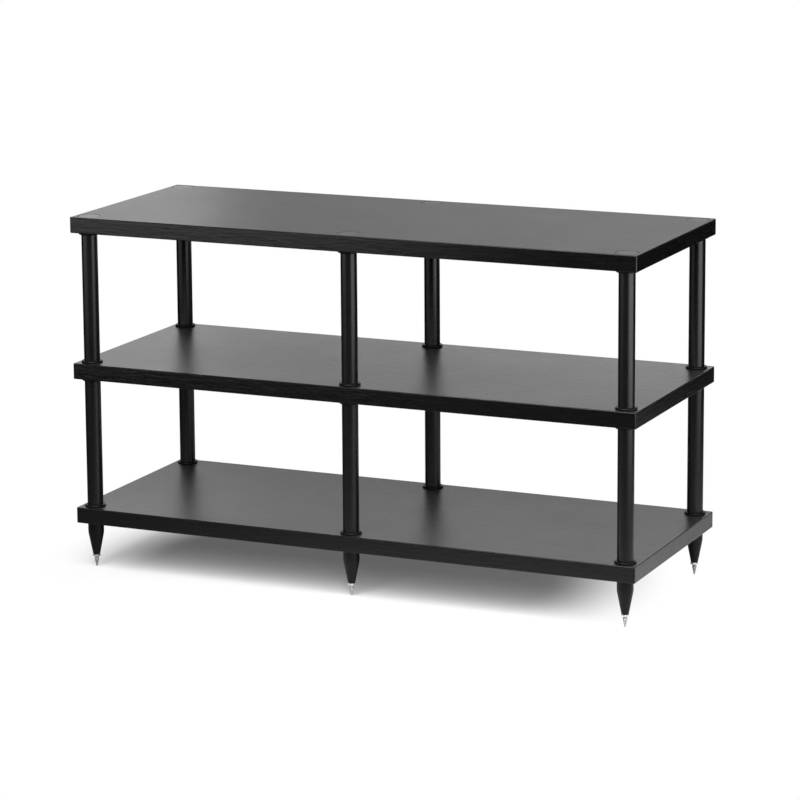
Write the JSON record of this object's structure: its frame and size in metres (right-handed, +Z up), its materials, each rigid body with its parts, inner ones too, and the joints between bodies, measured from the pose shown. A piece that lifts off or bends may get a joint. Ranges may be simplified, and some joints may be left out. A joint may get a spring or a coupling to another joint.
{
  "type": "audio equipment rack",
  "caption": "Long low open rack: flat shelves stacked on round columns and tied by through bolts, standing on cone feet with screw-adjusted levelling spikes.",
  "frame": {"origin": "on the floor, under the middle of the rack", "axes": "+Z up, -Y out of the front, +X to the right as seen from the front"},
  "size_m": [1.12, 0.43, 0.674],
  "materials": {
    "shelf_laminate": "satin black laminate on board",
    "edge_band": "satin black edge strip",
    "column_lacquer": "satin black lacquer",
    "bush_plastic": "glossy black",
    "bolt_lacquer": "semi-gloss black lacquer",
    "foot_lacquer": "satin black lacquer",
    "bright_steel": "bright plated steel"
  },
  "bodies": {
    "rack": {"top_shelf_board": "shelf_laminate", "middle_shelf_board": "shelf_laminate", "bottom_shelf_board": "shelf_laminate", "top_shelf_edge_band": "edge_band", "middle_shelf_edge_band": "edge_band", "bottom_shelf_edge_band": "edge_band", "upper_column_front_left": "column_lacquer", "upper_column_front_centre": "column_lacquer", "upper_column_front_right": "column_lacquer", "upper_column_back_left": "column_lacquer", "upper_column_back_centre": "column_lacquer", "upper_column_back_right": "column_lacquer", "lower_column_front_left": "column_lacquer", "lower_column_front_centre": "column_lacquer", "lower_column_front_right": "column_lacquer", "lower_column_back_left": "column_lacquer", "lower_column_back_centre": "column_lacquer", "lower_column_back_right": "column_lacquer", "top_bush_front_left": "bush_plastic", "top_bush_front_centre": "bush_plastic", "top_bush_front_right": "bush_plastic", "top_bush_back_left": "bush_plastic", "top_bush_back_centre": "bush_plastic", "top_bush_back_right": "bush_plastic", "middle_bush_front_left": "bush_plastic", "middle_bush_front_centre": "bush_plastic", "middle_bush_front_right": "bush_plastic", "middle_bush_back_left": "bush_plastic", "middle_bush_back_centre": "bush_plastic", "middle_bush_back_right": "bush_plastic", "bottom_bush_front_left": "bush_plastic", "bottom_bush_front_centre": "bush_plastic", "bottom_bush_front_right": "bush_plastic", "bottom_bush_back_left": "bush_plastic", "bottom_bush_back_centre": "bush_plastic", "bottom_bush_back_right": "bush_plastic", "tie_bolt_front_left": "bolt_lacquer", "tie_bolt_front_centre": "bolt_lacquer", "tie_bolt_front_right": "bolt_lacquer", "tie_bolt_back_left": "bolt_lacquer", "tie_bolt_back_centre": "bolt_lacquer", "tie_bolt_back_right": "bolt_lacquer", "cone_foot_front_left": "foot_lacquer", "cone_foot_front_centre": "foot_lacquer", "cone_foot_front_right": "foot_lacquer", "cone_foot_back_left": "foot_lacquer", "cone_foot_back_centre": "foot_lacquer", "cone_foot_back_right": "foot_lacquer"},
    "front_left_spike": {"spike_front_left": "bright_steel"},
    "front_centre_spike": {"spike_front_centre": "bright_steel"},
    "front_right_spike": {"spike_front_right": "bright_steel"},
    "back_left_spike": {"spike_back_left": "bright_steel"},
    "back_centre_spike": {"spike_back_centre": "bright_steel"},
    "back_right_spike": {"spike_back_right": "bright_steel"},
    "front_left_nut": {"lock_nut_front_left": "bright_steel"},
    "front_centre_nut": {"lock_nut_front_centre": "bright_steel"},
    "front_right_nut": {"lock_nut_front_right": "bright_steel"},
    "back_left_nut": {"lock_nut_back_left": "bright_steel"},
    "back_centre_nut": {"lock_nut_back_centre": "bright_steel"},
    "back_right_nut": {"lock_nut_back_right": "bright_steel"}
  },
  "joints": [
    {"name": "front_left_levelling", "type": "slide", "parent": "rack", "child": "front_left_spike", "axis": [0, 0, 1], "range_m": [-0.01, 0.008]},
    {"name": "front_centre_levelling", "type": "slide", "parent": "rack", "child": "front_centre_spike", "axis": [0, 0, 1], "range_m": [-0.01, 0.008]},
    {"name": "front_right_levelling", "type": "slide", "parent": "rack", "child": "front_right_spike", "axis": [0, 0, 1], "range_m": [-0.01, 0.008]},
    {"name": "back_left_levelling", "type": "slide", "parent": "rack", "child": "back_left_spike", "axis": [0, 0, 1], "range_m": [-0.01, 0.008]},
    {"name": "back_centre_levelling", "type": "slide", "parent": "rack", "child": "back_centre_spike", "axis": [0, 0, 1], "range_m": [-0.01, 0.008]},
    {"name": "back_right_levelling", "type": "slide", "parent": "rack", "child": "back_right_spike", "axis": [0, 0, 1], "range_m": [-0.01, 0.008]},
    {"name": "front_left_locking", "type": "hinge", "parent": "rack", "child": "front_left_nut", "pos_m": [-0.533, -0.189, 0.022], "axis": [0, 0, 1], "continuous": true},
    {"name": "front_centre_locking", "type": "hinge", "parent": "rack", "child": "front_centre_nut", "pos_m": [0, -0.189, 0.022], "axis": [0, 0, 1], "continuous": true},
    {"name": "front_right_locking", "type": "hinge", "parent": "rack", "child": "front_right_nut", "pos_m": [0.533, -0.189, 0.022], "axis": [0, 0, 1], "continuous": true},
    {"name": "back_left_locking", "type": "hinge", "parent": "rack", "child": "back_left_nut", "pos_m": [-0.533, 0.189, 0.022], "axis": [0, 0, 1], "continuous": true},
    {"name": "back_centre_locking", "type": "hinge", "parent": "rack", "child": "back_centre_nut", "pos_m": [0, 0.189, 0.022], "axis": [0, 0, 1], "continuous": true},
    {"name": "back_right_locking", "type": "hinge", "parent": "rack", "child": "back_right_nut", "pos_m": [0.533, 0.189, 0.022], "axis": [0, 0, 1], "continuous": true}
  ]
}
